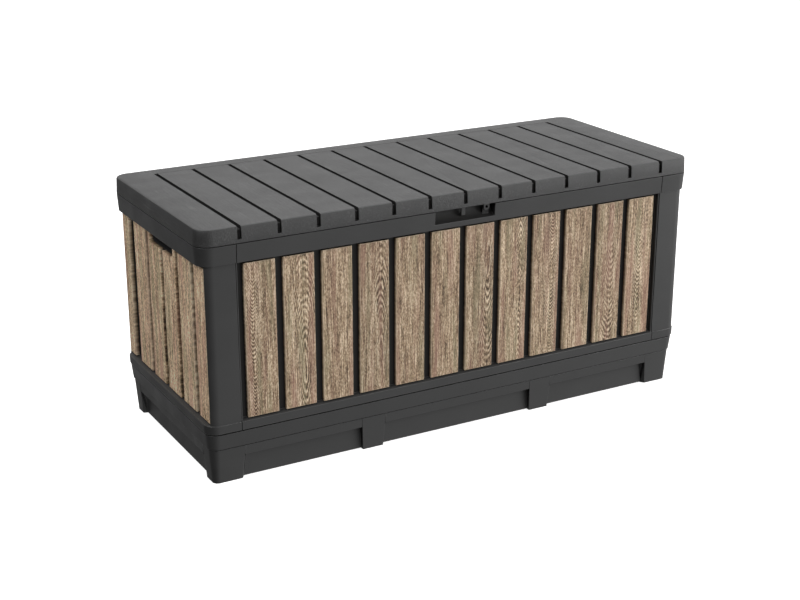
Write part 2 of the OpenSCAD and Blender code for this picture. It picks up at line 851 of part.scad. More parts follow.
// T-shaped tongue that drops into the front recess and steers the lid shut
module lid_tongue() {
    y = -half_d + eye_inset;
    color(resin) {
        block([-tongue_head_w / 2, y, liner_z - tongue_head_t],
              [tongue_head_w / 2, y + tongue_depth, liner_z]);
        block([-tongue_w / 2, y + tongue_web_inset, liner_z - tongue_drop],
              [tongue_w / 2, y + tongue_web_inset + tongue_web, liner_z - tongue_head_t + eps]);
    }
}

// Eye that hangs from the lid in front of the fixed eye
module padlock_eye() {
    y = -half_d + eye_inset;
    color(resin) difference() {
        union() {
            block([eye_x - eye_r, y, eye_z], [eye_x + eye_r, y + eye_t, liner_z]);
            translate([eye_x, y, eye_z]) rotate([-90, 0, 0]) cylinder(r = eye_r, h = eye_t);
        }
        padlock_hole();
    }
}

// ---- Pins and screws ----

// Headed steel pin through one hinge
module hinge_pin(x) {
    color(steel) translate([x - pin_l / 2, axis_y, axis_z]) rotate([0, 90, 0]) {
        cylinder(d = pin_d, h = pin_l);
        translate([0, 0, -pin_head_t]) cylinder(r = pin_head_r, h = pin_head_t + eps);
    }
}

// Pan-head screws that tie the end panels to the front and back panels
module panel_screws() {
    color(steel) for (back = [0, 1]) mirror([0, back, 0]) both_sides() for (f = screw_heights)
        translate([screw_x, -half_d + lap_inset + lap_t, screw_z(f)]) {
            rotate([-90, 0, 0]) cylinder(r = screw_head_r, h = screw_head_t);
            rotate([90, 0, 0]) cylinder(d = screw_d, h = screw_l);
        }
}

base_tray();
front_panel();
back_panel();
left_end_panel();
right_end_panel();
lid_top();
lid_liner();
lid_tongue();
padlock_eye();
hinge_pin(-hinge_x);  // left_hinge_pin
hinge_pin(0);  // middle_hinge_pin
hinge_pin(hinge_x);  // right_hinge_pin
panel_screws();
for (i = [1:front_planks]) {
    front_plank(i);
    back_plank(i);
}
for (i = [1:end_planks]) {
    left_plank(i);
    right_plank(i);
}
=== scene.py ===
"""Deck storage box: its planks, mouldings, pins and screws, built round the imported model.

Metres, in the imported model's frame: +Z up, the front faces -Y, the ground is at z = 0.
"""

import math

import bmesh
import bpy
import numpy as np
from bpy.props import FloatProperty, FloatVectorProperty, IntProperty, PointerProperty
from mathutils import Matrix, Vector


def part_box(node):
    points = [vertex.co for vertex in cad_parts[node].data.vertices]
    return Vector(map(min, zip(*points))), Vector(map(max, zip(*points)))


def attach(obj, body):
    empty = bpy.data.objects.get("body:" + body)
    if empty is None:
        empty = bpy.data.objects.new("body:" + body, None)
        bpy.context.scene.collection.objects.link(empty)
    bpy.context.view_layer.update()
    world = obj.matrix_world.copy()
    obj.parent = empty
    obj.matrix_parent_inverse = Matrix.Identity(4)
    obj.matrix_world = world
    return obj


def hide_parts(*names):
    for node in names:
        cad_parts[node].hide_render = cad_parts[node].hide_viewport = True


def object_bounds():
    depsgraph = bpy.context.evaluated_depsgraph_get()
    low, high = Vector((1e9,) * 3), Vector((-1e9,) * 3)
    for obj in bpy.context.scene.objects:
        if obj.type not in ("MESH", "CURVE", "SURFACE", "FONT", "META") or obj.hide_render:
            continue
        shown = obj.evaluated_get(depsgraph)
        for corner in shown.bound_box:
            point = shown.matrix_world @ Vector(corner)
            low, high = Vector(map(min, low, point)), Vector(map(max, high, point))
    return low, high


bl_info = {
    "name": "Deck storage box",
    "version": (1, 0, 0),
    "blender": (4, 5, 0),
    "location": "View3D > Sidebar > Deck box",
    "description": "Builds a lidded deck box with plank-look walls round its packed model",
    "category": "Object",
}

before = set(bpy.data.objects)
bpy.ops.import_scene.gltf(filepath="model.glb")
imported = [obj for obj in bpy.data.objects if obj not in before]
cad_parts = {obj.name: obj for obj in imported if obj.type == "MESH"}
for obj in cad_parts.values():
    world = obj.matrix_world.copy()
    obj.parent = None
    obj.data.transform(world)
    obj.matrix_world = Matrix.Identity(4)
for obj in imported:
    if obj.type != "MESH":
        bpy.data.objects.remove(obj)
CAD_BOX = [list(corner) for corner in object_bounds()]

MM = 0.001
FRONT_PLANKS = [f"front_plank_{i:02d}" for i in range(1, 13)]
BACK_PLANKS = [f"back_plank_{i:02d}" for i in range(1, 13)]
LEFT_PLANKS = [f"left_plank_{i}" for i in range(1, 7)]
RIGHT_PLANKS = [f"right_plank_{i}" for i in range(1, 7)]
NOTCHED = {"left_plank_3", "left_plank_4", "right_plank_3", "right_plank_4"}
HINGE_PINS = ["left_hinge_pin", "middle_hinge_pin", "right_hinge_pin"]

# How each front plank was sawn from its log, from the left corner to the right one
FRONT_CUTS = [
    "arches_left", "eye_low", "straight", "eye_side", "straight", "straight",
    "arch_top", "arches_low", "arches_strong", "straight", "eye_high", "arches_middle",
]
# Arches and eyes: their axis from the plank's middle and foot above it in millimetres, the
# slope of their rise, 1 if closed, and the width of their points in millimetres
PRINTED_CUTS = {
    "arches_left": (-18, 0, -0.34, 0, 10),
    "eye_low": (11, -80, 0.20, 1, 13),
    "eye_side": (16, -80, 0.17, 1, 9),
    "eye_high": (6, 140, 0.22, 1, 8),
    "arches_low": (18, 0, 0.20, 0, 8),
    "arches_strong": (17, 0, -0.34, 0, 12),
    "arches_middle": (2, 0, -0.28, 0, 10),
    "arch_top": (22, 90, 0.18, 1, 9),
}
BACK_CUTS = FRONT_CUTS[5:] + FRONT_CUTS[:5]
END_CUTS = ["straight", "streaked", "tilted", "tilted", "straight", "streaked"]
# The end planks are painted lighter: painted light that evens them out in the dim light from the left
FRONT_TONE, END_PAINTED_LIGHT_TONE = 1.0, 1.95
PLANK_SEED = 4100

# Patterns in the printed oak: length of a feature on each axis in millimetres (across, in
# depth, along the plank), shift, octaves of detail and roughness.
# Rings wander over a hand's length of plank and waver over a finger's width; strength is
# where they print more or less. Fibres are 0.4 mm wide and are drawn 2 mm wide, which is
# what shows at this distance. Flecks are 2.3 mm by 6 mm, dark streaks half a plank long, and
# tints 22 mm wide and most of a plank long.
OAK_PATTERNS = {
    "wander": ((50, 50, 150), (0, 0, 0), 2.0, 0.5),
    "waver": ((9, 9, 26), (0, 0, 0), 3.0, 0.5),
    "fibre": ((2.0, 2.0, 75), (0, 0, 0), 3.0, 0.6),
    "strength": ((26, 26, 80), (0, 0, 0), 2.0, 0.5),
    "fleck": ((2.3, 2.3, 6), (0.7, 5.3, 2.2), 3.0, 0.7),
    "streak": ((9, 9, 190), (3.1, 1.7, 0.4), 3.0, 0.5),
    "tint": ((22, 22, 300), (0, 0, 0), 2.0, 0.5),
}

# Patterns in moulded resin: length of a feature on each axis in millimetres, octaves of
# detail, roughness and distortion. Mould grain is 0.3 mm and is drawn at 1.4 mm, the finest
# that shows at this distance. Flow marks are a hand's width long. Brush strokes are 3 mm wide
# and 55 mm long, in patches half a board wide.
MOULD_PATTERNS = {
    "grain": ((1.4, 1.4, 1.4), 3.0, 0.6, 0.0),
    "flow": ((90, 60, 60), 4.0, 0.5, 0.4),
    "stroke": ((3.2, 55, 3.2), 5.0, 0.62, 0.6),
    "patch": ((45, 110, 45), 2.0, 0.5, 0.0),
}

# The scoop for the padlock in a long wall: its foot and half its width
SCOOP_FOOT = 0.505
SCOOP_HALF_WIDTH = 0.0785

# Clip tongues behind a plank: half width and half height, how far their middle is from the
# plank's ends, and how deep they reach into it
CLIP_HALF_WIDTH, CLIP_HALF_HEIGHT = 3.0 * MM, 12.0 * MM
CLIP_FROM_END = 60 * MM
CLIP_SINK = 2 * MM

# Hinge pins: shank, head and the chamfer at the tip
PIN_SHANK_RADIUS = 3.0 * MM
PIN_HEAD = 2.0 * MM
PIN_DOME = 0.6 * PIN_HEAD
PIN_TIP_LENGTH, PIN_TIP_DEPTH = 1.2 * MM, 0.8 * MM

# Panel screws: head, shank and the cross-shaped recess in the head
SCREW_HEAD_RADIUS, SCREW_HEAD = 4.0 * MM, 2.4 * MM
SCREW_SHANK, SCREW_SHANK_RADIUS = 14.0 * MM, 2.0 * MM
SCREW_TIP, SCREW_TIP_RADIUS = 1.2 * MM, 1.0 * MM
CROSS_REACH, CROSS_HALF_WIDTH, CROSS_DEPTH = 2.2 * MM, 0.55 * MM, 1.3 * MM
SCREW_SHARES = (1 / 6, 1 / 2, 5 / 6)

FLOOR_HALF = 40.0
SENSOR_WIDTH = 36.0  # millimetres

# Edges that turn by more than this are rounded, and faces that turn by more stay sharp
ROUNDED_TURN = math.radians(34)
MOULDING_SMOOTH, TURNED_SMOOTH, PLANK_SMOOTH = (math.radians(a) for a in (30, 35, 50))


# ---- Colours ----


def linear(hex_colour):
    """sRGB hex to linear RGB: c / 12.92 below 0.04045, else ((c + 0.055) / 1.055) ^ 2.4."""
    values = [int(hex_colour[i : i + 2], 16) / 255 for i in (1, 3, 5)]
    return tuple(
        c / 12.92 if c <= 0.04045 else ((c + 0.055) / 1.055) ** 2.4 for c in values
    )


def rgba(colour):
    return (colour[0], colour[1], colour[2], 1.0)


def colour_setting(name, description, hex_colour):
    return FloatVectorProperty(
        name=name, description=description, subtype="COLOR", size=3,
        min=0.0, max=1.0, default=linear(hex_colour),
    )


def length_setting(name, description, millimetres):
    return FloatProperty(
        name=name, description=description, default=millimetres * MM,
        min=0.0, unit="LENGTH", subtype="DISTANCE", precision=5,
    )


class DeckBoxSizes(bpy.types.PropertyGroup):
    """Sizes of the visible detail."""

    plank_thickness: length_setting("Plank thickness", "Face of a plank to the wall behind it", 10.3)
    plank_edge: length_setting("Plank edge", "Radius along a plank's front edges", 1.3)
    plank_relief: length_setting("Plank relief", "Depth of the shallow waves in a plank's face", 0.25)
    ring_step: length_setting("Ring step", "Distance between the printed growth rings", 3.0)
    ring_wobble: length_setting("Ring wobble", "How far the rings wander off their true shape", 9.0)
    ring_waver: length_setting("Ring waver", "How far they waver over a finger's width", 3.0)
    moulding_edge: length_setting("Moulding edge", "Radius along a moulding's sharp edges", 0.9)
    shortest_edge: length_setting("Shortest edge", "Edges shorter than this stay sharp", 2.6)
    edge_steps: IntProperty(
        name="Edge steps", description="Segments in a moulding's rounded edge", default=2, min=1, max=4
    )
    groove_width: length_setting("Groove width", "Width of the grooves between the lid boards", 9.0)
    pin_steps: IntProperty(
        name="Pin steps", description="Segments round a pin or screw", default=40, min=16, max=96
    )


class DeckBoxColours(bpy.types.PropertyGroup):
    """Colours of the finishes."""

    resin: colour_setting("Graphite resin", "Walls, base and lid", "#383838")
    # Painted highlight: the rounded edges take a slightly lighter, glossier resin than the walls
    resin_edge_highlight: colour_setting(
        "Edge highlight", "The same resin, lighter and glossier on rounded edges as a painted highlight", "#404040"
    )
    # Painted shade: a near-black resin put on recess floors, lid grooves and the padlock scoop, where
    # there is only shade
    resin_painted_shade: colour_setting(
        "Painted recess shade", "The unlit black of the recesses and grooves", "#181716"
    )
    resin_inner: colour_setting("Inner resin", "The lid's inner plate", "#2a2b2d")
    oak_pore: colour_setting("Oak pore", "Short dark pores and the darkest late wood", "#3f3126")
    oak_dark: colour_setting("Oak, dark", "Late wood of the printed oak", "#7f6953")
    oak_light: colour_setting("Oak, light", "Early wood of the printed oak", "#b3987a")
    # Pale flecks of the print, made brighter as a painted highlight where the raised film catches
    # light; also the colour of the painted edge highlight
    oak_fleck_and_highlight: colour_setting("Oak fleck and highlight", "Pale raised flecks of the film", "#f3dfc2")
    oak_pink: colour_setting("Oak, pinkish", "Warm streaks in the print", "#a8806f")
    oak_green: colour_setting("Oak, greenish", "Cool streaks in the print", "#958e6e")
    # Bare resin on the plank sides, darkened to near black as painted shade in the gaps between planks
    plank_side_and_shade: colour_setting("Plank side and shade", "Bare tray resin beside the film", "#1c1613")
    zinc: colour_setting("Zinc", "Plating on the pins and screws", "#a9adb2")
    floor: colour_setting("Floor", "Painted studio floor", "#f4f4f3")


class DeckBoxStudio(bpy.types.PropertyGroup):
    """Camera and lights."""

    azimuth: FloatProperty(
        name="Azimuth", description="Side the camera looks from, 0 being the front",
        default=math.radians(-29.31), subtype="ANGLE",
    )
    elevation: FloatProperty(
        name="Elevation", description="Height of the camera above the horizon",
        default=math.radians(19.54), subtype="ANGLE",
    )
    distance: FloatProperty(
        name="Distance", description="Camera to the point that it looks at", default=3.6, unit="LENGTH",
        subtype="DISTANCE",
    )
    target: FloatVectorProperty(
        name="Target", description="Point that the camera looks at", default=(-0.0398, -0.0337, 0.2604),
        size=3, subtype="TRANSLATION",
    )
    lens: FloatProperty(
        name="Lens", description="Focal length on a 36 mm sensor", default=67.44, min=10.0, max=300.0
    )
    top_light: FloatProperty(
        name="Top light", description="Power of the softbox overhead, in watts", default=50.0, min=0.0
    )
    front_light: FloatProperty(
        name="Front light", description="Power of the softbox at the front right, in watts",
        default=70.0, min=0.0,
    )
    left_light: FloatProperty(
        name="Left light", description="Power of the softbox high at the left, in watts", default=38.0,
        min=0.0,
    )
    sky: FloatProperty(
        name="Sky", description="Strength of the light from all round", default=0.9, min=0.0
    )
    floor_glow: FloatProperty(
        name="Floor glow", description="Light that the floor table gives off", default=0.75, min=0.0
    )


def sizes():
    return bpy.context.scene.deckbox_sizes


def colours():
    return bpy.context.scene.deckbox_colours


# ---- Materials ----


def add(tree, kind, inputs=None, **settings):
    """Adds one shader node with its settings; each input is a value or the socket that feeds
    it."""
    node = tree.nodes.new("ShaderNode" + kind)
    for name, value in settings.items():
        setattr(node, name, value)
    for name, value in (inputs or {}).items():
        if isinstance(value, bpy.types.NodeSocket):
            tree.links.new(value, node.inputs[name])
        else:
            node.inputs[name].default_value = value
    return node


def set_stops(ramp, stops):
    """Gives a colour ramp its stops, as (position, colour or grey) pairs."""
    elements = ramp.color_ramp.elements
    while len(elements) < len(stops):
        elements.new(1.0)
    for element, (position, value) in zip(elements, stops):
        element.position = position
        element.color = rgba(value) if isinstance(value, tuple) else (value, value, value, 1.0)


def new_material(name):
    """An empty node material of that name and its output node, or None if it was made before."""
    if name in bpy.data.materials:
        return bpy.data.materials[name], None
    material = bpy.data.materials.new(name)
    material.use_nodes = True
    material.node_tree.nodes.clear()
    return material, add(material.node_tree, "OutputMaterial")


def cells(*millimetres):
    """Mapping scale that makes a noise feature this many millimetres long on each axis."""
    return tuple(1.0 / (m * MM) for m in millimetres)


def moulded_polypropylene(name, colour, roughness, mottle=0.10, strokes=0.0):
    """Injection-moulded polypropylene: a satin skin off a lightly grained steel mould.
    Fine grain breaks up its highlights, slow flow marks vary its shade a little, and where
    boards are embossed, short brush strokes run front to back along them."""
    material, out = new_material(name)
    if out is None:
        return material
    tree = material.node_tree
    place = add(tree, "TexCoord").outputs["Object"]
    noise = {}
    for name in ("grain", "flow", "stroke", "patch") if strokes else ("grain", "flow"):
        lengths, detail, rough, bend = MOULD_PATTERNS[name]
        scaled = add(tree, "Mapping", {"Vector": place, "Scale": cells(*lengths)}).outputs[0]
        settings = {
            "Vector": scaled, "Scale": 1.0, "Detail": detail, "Roughness": rough, "Distortion": bend
        }
        noise[name] = add(tree, "TexNoise", settings).outputs["Fac"]
    shade = add(tree, "Math", {0: noise["grain"], 1: noise["flow"]}, operation="ADD")
    level = add(
        tree, "MapRange",
        {
            "Value": shade.outputs[0], "From Min": 0.7, "From Max": 1.3, "To Min": 1.0 - mottle,
            "To Max": 1.0 + mottle,
        },
    )
    tinted = add(tree, "VectorMath", {0: colour, "Scale": level.outputs[0]}, operation="SCALE").outputs[
        "Vector"
    ]
    height = noise["grain"]
    if strokes:
        pick = add(tree, "ValToRGB", {"Fac": noise["stroke"]})
        set_stops(pick, [(0.50, 0.0), (0.68, 1.0)])
        patchy = add(
            tree, "MapRange",
            {
                "Value": noise["patch"], "From Min": 0.42, "From Max": 0.68, "To Min": 0.15,
                "To Max": 1.0,
            },
        )
        streak = add(
            tree, "Math", {0: pick.outputs["Color"], 1: patchy.outputs[0]}, operation="MULTIPLY"
        )
        lift = add(tree, "Math", {0: streak.outputs[0], 1: strokes, 2: 1.0}, operation="MULTIPLY_ADD")
        tinted = add(
            tree, "VectorMath", {0: tinted, "Scale": lift.outputs[0]}, operation="SCALE"
        ).outputs["Vector"]
        height = add(
            tree, "Math", {0: noise["stroke"], 1: 3.0, 2: noise["grain"]}, operation="MULTIPLY_ADD"
        ).outputs[0]
    gloss = add(
        tree, "MapRange",
        {
            "Value": noise["flow"], "From Min": 0.3, "From Max": 0.7, "To Min": roughness - 0.05,
            "To Max": roughness + 0.06,
        },
    )
    bump = add(
        tree, "Bump", {"Height": height, "Strength": 0.35, "Distance": (1.3 if strokes else 0.15) * MM}
    )
    shader = add(
        tree, "BsdfPrincipled",
        {"Base Color": tinted, "Roughness": gloss.outputs[0], "Normal": bump.outputs[0], "IOR": 1.49},
    )
    tree.links.new(shader.outputs[0], out.inputs["Surface"])
    return material


def printed_oak_film():
    """Oak-print film on a polypropylene tray, embossed in register. Growth rings lie at equal
    steps of a depth read from log_place (across from an arch's axis, rise, along the plank)
    and saw_cut (closed or open, width of an arch's point). Open arches: depth is rise plus
    the hypotenuse of 1.25 times across and the point's width. Closed eyes: all three are the
    sides of one hypotenuse. Fibres, flecks, slow dark streaks and tints lie over them."""
    material, out = new_material("oak_film_printed_and_embossed")
    if out is None:
        return material
    tree = material.node_tree
    c = colours()
    log = add(tree, "Attribute", attribute_name="log_place").outputs["Vector"]
    # Film, then tone with the end planks' painted light, then the painted highlight of the rounded
    # edges
    finish_and_painted_light = add(
        tree, "SeparateXYZ",
        {0: add(tree, "Attribute", attribute_name="plank_print_and_painted_light").outputs["Vector"]},
    )
    film, tone, edge_highlight = finish_and_painted_light.outputs[0], finish_and_painted_light.outputs[1], finish_and_painted_light.outputs[2]
    cut = add(
        tree, "SeparateXYZ", {0: add(tree, "Attribute", attribute_name="saw_cut").outputs["Vector"]}
    )
    closed, point_width = cut.outputs[0], cut.outputs[1]
    # The grain patterns run along the plank, whatever the depth of its cut
    face = add(tree, "VectorMath", {0: log, 1: (1.0, 0.0, 1.0)}, operation="MULTIPLY").outputs[0]
    noise = {}
    for name, (lengths, shift, detail, rough) in OAK_PATTERNS.items():
        place = add(tree, "Mapping", {"Vector": face, "Location": shift, "Scale": cells(*lengths)})
        settings = {"Vector": place.outputs[0], "Scale": 1.0, "Detail": detail, "Roughness": rough}
        noise[name] = add(tree, "TexNoise", settings).outputs
    # The rings are bent sideways and in depth
    bent = log
    for name, reach in (("wander", sizes().ring_wobble), ("waver", sizes().ring_waver)):
        moved = {0: noise[name]["Color"], 1: (reach, reach, 0.0), 2: bent}
        bent = add(tree, "VectorMath", moved, operation="MULTIPLY_ADD").outputs[0]
    part = add(tree, "SeparateXYZ", {0: bent})
    sideways = add(tree, "Math", {0: part.outputs[0], 1: 1.25}, operation="MULTIPLY")
    sides = {0: sideways.outputs[0], 1: point_width}
    flat = add(tree, "CombineXYZ", sides).outputs[0]
    pointed = add(tree, "VectorMath", {0: flat}, operation="LENGTH")
    solid = add(tree, "CombineXYZ", {**sides, 2: part.outputs[1]}).outputs[0]
    oval = add(tree, "VectorMath", {0: solid}, operation="LENGTH")
    arch = add(tree, "Math", {0: pointed.outputs["Value"], 1: part.outputs[1]}, operation="ADD")
    depth = add(tree, "Mix", {"Factor": closed, "A": arch.outputs[0], "B": oval.outputs["Value"]})
    ring_number = add(tree, "Math", {0: depth.outputs[0], 1: sizes().ring_step}, operation="DIVIDE")
    # The fibres fray the rings by up to a whole ring
    frayed = add(tree, "Math", {0: noise["fibre"]["Fac"], 1: ring_number.outputs[0]}, operation="ADD")
    phase = add(tree, "Math", {0: frayed.outputs[0]}, operation="FRACT")
    ring = add(tree, "ValToRGB", {"Fac": phase.outputs[0]})
    set_stops(ring, [(0.0, 0.40), (0.26, 1.0), (0.50, 0.50), (0.76, 0.0), (1.0, 0.40)])
    # Rings print strongly where the saw met them flat and faintly where it met them on edge
    flatness = add(tree, "Math", {0: point_width, 1: pointed.outputs["Value"]}, operation="DIVIDE")
    met = add(
        tree, "MapRange",
        {
            "Value": flatness.outputs[0], "From Min": 0.15, "From Max": 0.55, "To Min": 0.12,
            "To Max": 0.95,
        },
    )
    faded = add(
        tree, "MapRange",
        {
            "Value": noise["strength"]["Fac"], "From Min": 0.36, "From Max": 0.60, "To Min": 0.25,
            "To Max": 1.0,
        },
    )
    print_strength = add(tree, "Math", {0: met.outputs[0], 1: faded.outputs[0]}, operation="MULTIPLY")
    ring_swing = add(tree, "Math", {0: ring.outputs["Color"], 1: 0.5}, operation="SUBTRACT")
    level = add(
        tree, "Math", {0: ring_swing.outputs[0], 1: print_strength.outputs[0], 2: 0.53},
        operation="MULTIPLY_ADD",
    )
    # The flecks are print, brightened into a painted highlight of the raised film
    for name, swing in (("fibre", 2.0), ("fleck", 1.7), ("streak", 0.8)):
        centred = add(tree, "Math", {0: noise[name]["Fac"], 1: 0.5}, operation="SUBTRACT")
        level = add(
            tree, "Math", {0: centred.outputs[0], 1: swing, 2: level.outputs[0]},
            operation="MULTIPLY_ADD",
        )
    wood = add(tree, "ValToRGB", {"Fac": level.outputs[0]})
    set_stops(
        wood,
        [
            (0.0, tuple(c.oak_pore)), (0.33, tuple(c.oak_dark)), (0.58, tuple(c.oak_light)),
            (1.0, tuple(c.oak_fleck_and_highlight)),
        ],
    )
    pink = add(
        tree, "MapRange",
        {
            "Value": noise["tint"]["Fac"], "From Min": 0.50, "From Max": 0.64, "To Min": 0.0,
            "To Max": 0.5,
        },
    )
    wood = add(
        tree, "Mix", {"Factor": pink.outputs[0], "A": wood.outputs["Color"], "B": rgba(c.oak_pink)},
        data_type="RGBA",
    )
    green = add(
        tree, "MapRange",
        {
            "Value": noise["tint"]["Fac"], "From Min": 0.46, "From Max": 0.34, "To Min": 0.0,
            "To Max": 0.4,
        },
    )
    wood = add(
        tree, "Mix", {"Factor": green.outputs[0], "A": wood.outputs["Result"], "B": rgba(c.oak_green)},
        data_type="RGBA",
    )
    toned = add(tree, "VectorMath", {0: wood.outputs["Result"], "Scale": tone}, operation="SCALE")
    # The rounded edges are mixed toward the pale fleck colour, a painted highlight
    edge_lit = add(
        tree, "Mix", {"Factor": edge_highlight, "A": toned.outputs[0], "B": rgba(c.oak_fleck_and_highlight)}, data_type="RGBA"
    )
    # Off the film, the plank sides take their bare resin, darkened as painted shade
    surface = add(
        tree, "Mix", {"Factor": film, "A": rgba(c.plank_side_and_shade), "B": edge_lit.outputs["Result"]},
        data_type="RGBA",
    )
    # The emboss follows the print: dark parts sink, pale ones stand up
    bump = add(tree, "Bump", {"Height": level.outputs[0], "Strength": 0.6, "Distance": 0.6 * MM})
    gloss = add(tree, "MapRange", {"Value": level.outputs[0], "To Min": 0.74, "To Max": 0.5})
    shader = add(
        tree, "BsdfPrincipled",
        {
            "Base Color": surface.outputs["Result"], "Roughness": gloss.outputs[0],
            "Normal": bump.outputs[0], "IOR": 1.46,
        },
    )
    tree.links.new(shader.outputs[0], out.inputs["Surface"])
    return material


def zinc_plated_steel():
    """Zinc-plated steel: bright grey with drawing lines round the turned faces and slightly
    yellowed, cloudy patches from the plating bath."""
    material, out = new_material("steel_zinc_plated")
    if out is None:
        return material
    tree = material.node_tree
    place = add(tree, "TexCoord").outputs["Object"]
    cloud_place = add(tree, "Mapping", {"Vector": place, "Scale": cells(5, 5, 5)})
    cloud = add(tree, "TexNoise", {"Vector": cloud_place.outputs[0], "Scale": 1.0, "Detail": 3.0})
    zinc = colours().zinc
    plated = add(
        tree, "Mix",
        {
            "Factor": cloud.outputs["Fac"], "A": rgba(zinc),
            "B": rgba([zinc[0] * 0.80, zinc[1] * 0.77, zinc[2] * 0.68]),
        },
        data_type="RGBA",
    )
    line_place = add(tree, "Mapping", {"Vector": place, "Scale": cells(0.5, 4, 4)})
    lines = add(tree, "TexNoise", {"Vector": line_place.outputs[0], "Scale": 1.0, "Detail": 2.0})
    gloss = add(
        tree, "MapRange",
        {
            "Value": cloud.outputs["Fac"], "From Min": 0.3, "From Max": 0.7, "To Min": 0.28,
            "To Max": 0.45,
        },
    )
    bump = add(tree, "Bump", {"Height": lines.outputs["Fac"], "Strength": 0.3, "Distance": 0.05 * MM})
    shader = add(
        tree, "BsdfPrincipled",
        {
            "Base Color": plated.outputs["Result"], "Metallic": 1.0, "Roughness": gloss.outputs[0],
            "Normal": bump.outputs[0],
        },
    )
    tree.links.new(shader.outputs[0], out.inputs["Surface"])
    return material


def painted_floor():
    """Matt white paint on a light table: bright, even, with only faint shadows."""
    material, out = new_material("studio_floor_painted")
    if out is None:
        return material
    tree = material.node_tree
    place = add(tree, "TexCoord").outputs["Object"]
    cloud = add(tree, "TexNoise", {"Vector": place, "Scale": 1.5, "Detail": 2.0})
    level = add(tree, "MapRange", {"Value": cloud.outputs["Fac"], "To Min": 0.98, "To Max": 1.0})
    paint = add(
        tree, "VectorMath", {0: tuple(colours().floor), "Scale": level.outputs[0]}, operation="SCALE"
    )
    shader = add(
        tree, "BsdfPrincipled",
        {
            "Base Color": paint.outputs[0], "Roughness": 0.85, "Specular IOR Level": 0.1,
            "Emission Color": (1.0, 1.0, 1.0, 1.0),
            "Emission Strength": bpy.context.scene.deckbox_studio.floor_glow,
        },
    )
    tree.links.new(shader.outputs[0], out.inputs["Surface"])
    return material


def with_shared_finishes_and_painted_light(own):
    """A moulding's finishes: its own, then the rounded edges' resin, lighter as a painted highlight,
    and the painted shade of recesses.
    """
    c = colours()
    return [
        own,
        # The rounded edges' resin is a painted highlight: lighter than the walls and glossier
        moulded_polypropylene("polypropylene_edge_painted_highlight", tuple(c.resin_edge_highlight), 0.34, mottle=0.16),
        # The recess material is painted shade, near black where the recesses are unlit
        moulded_polypropylene("polypropylene_painted_recess_shade", tuple(c.resin_painted_shade), 0.62),
    ]


def graphite_resin():
    colour = tuple(colours().resin)
    return with_shared_finishes_and_painted_light(moulded_polypropylene("polypropylene_moulded_graphite", colour, 0.46))


def lid_resin():
    colour = tuple(colours().resin)
    own = moulded_polypropylene("polypropylene_embossed_boards", colour, 0.46, strokes=1.1)
    return with_shared_finishes_and_painted_light(own)


def inner_resin():
    colour = tuple(colours().resin_inner)
    return with_shared_finishes_and_painted_light(moulded_polypropylene("polypropylene_moulded_inner", colour, 0.55))


# ---- Meshes ----


def grid_faces(rows, columns):
    """Quads between neighbouring rows of a grid whose rows close on themselves."""
    r, c = np.meshgrid(np.arange(rows - 1), np.arange(columns), indexing="ij")
    after = (c + 1) % columns
    quads = np.stack(
        [r * columns + c, r * columns + after, (r + 1) * columns + after, (r + 1) * columns + c], -1
    )
    return quads.reshape(-1, 4)


def mesh_from(name, points, faces):
    """A mesh from arrays of points and of faces."""
    mesh = bpy.data.meshes.new(name)
    mesh.from_pydata(points.reshape(-1, 3).tolist(), [], faces.tolist())
    mesh.update()
    return mesh


def tidy(mesh):
    """Merges the points where poles and seams meet, and turns the faces outwards."""
    shape = bmesh.new()
    shape.from_mesh(mesh)
    bmesh.ops.remove_doubles(shape, verts=shape.verts, dist=1e-6)
    bmesh.ops.dissolve_degenerate(shape, edges=shape.edges, dist=1e-7)
    bmesh.ops.recalc_face_normals(shape, faces=shape.faces)
    shape.to_mesh(mesh)
    shape.free()
    mesh.update()


def smooth(mesh, turn):
    """Shades a mesh smoothly, but for the edges that turn by more than that angle."""
    mesh.polygons.foreach_set("use_smooth", np.ones(len(mesh.polygons), bool))
    mesh.set_sharp_from_angle(angle=turn)


def vectors_of(items, name):
    """One vector for each vertex or polygon, as the rows of an array."""
    values = np.empty(len(items) * 3)
    items.foreach_get(name, values)
    return values.reshape(-1, 3)


def place_piece(name, mesh, materials, node, body):
    """Puts a finished mesh into the scene in place of its CAD node."""
    piece = bpy.data.objects.new(name, mesh)
    bpy.context.scene.collection.objects.link(piece)
    mesh.materials.clear()
    for material in materials:
        mesh.materials.append(material)
    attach(piece, body)
    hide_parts(node)
    return piece


# ---- Planks ----


def log_coordinates(cut, across, up, random):
    """Log places and the saw cut of a plank. The axis of its arches stands at a distance from
    the plank's middle: far away for straight grain, within it for arches and eyes. The rise
    is the height above the arches' foot, or above the eye's middle, times a slope."""
    height = up - up.mean()
    side = random.choice([-1, 1])
    if cut == "straight":
        axis, foot, slope, closed, width = side * random.uniform(120, 180), 0, random.uniform(
            -0.04, 0.04
        ), 0, 12
    elif cut == "streaked":
        axis, foot, slope, closed, width = side * random.uniform(48, 60), 0, random.uniform(
            0.10, 0.16
        ), 0, 14
    elif cut == "tilted":
        axis, foot, slope, closed, width = side * random.uniform(40, 70), 0, random.uniform(
            0.10, 0.18
        ), 0, 14
    else:
        axis, foot, slope, closed, width = PRINTED_CUTS[cut]
    # The wander and waver of the rings carry them this far on average, which is taken off
    carried = (sizes().ring_wobble + sizes().ring_waver) / 2
    rise = (height - foot * MM) * slope
    place = np.stack([across - axis * MM - carried, rise - carried, up + random.uniform(2.0, 60.0)], -1)
    return place, (closed, width * MM, 0.0)


def relief_waves(across, up, random):
    """Shallow waves in a plank's face: a sum of four sines, each much longer along the plank
    than across it, scaled to lie between 0 and 1."""
    total = np.zeros_like(across)
    for _ in range(4):
        wave = random.uniform(90, 320)
        lengthways = random.uniform(6, 22)
        total += np.sin(across * wave + up * lengthways + random.uniform(0, 6.28))
    return (total / 4 + 1) / 2


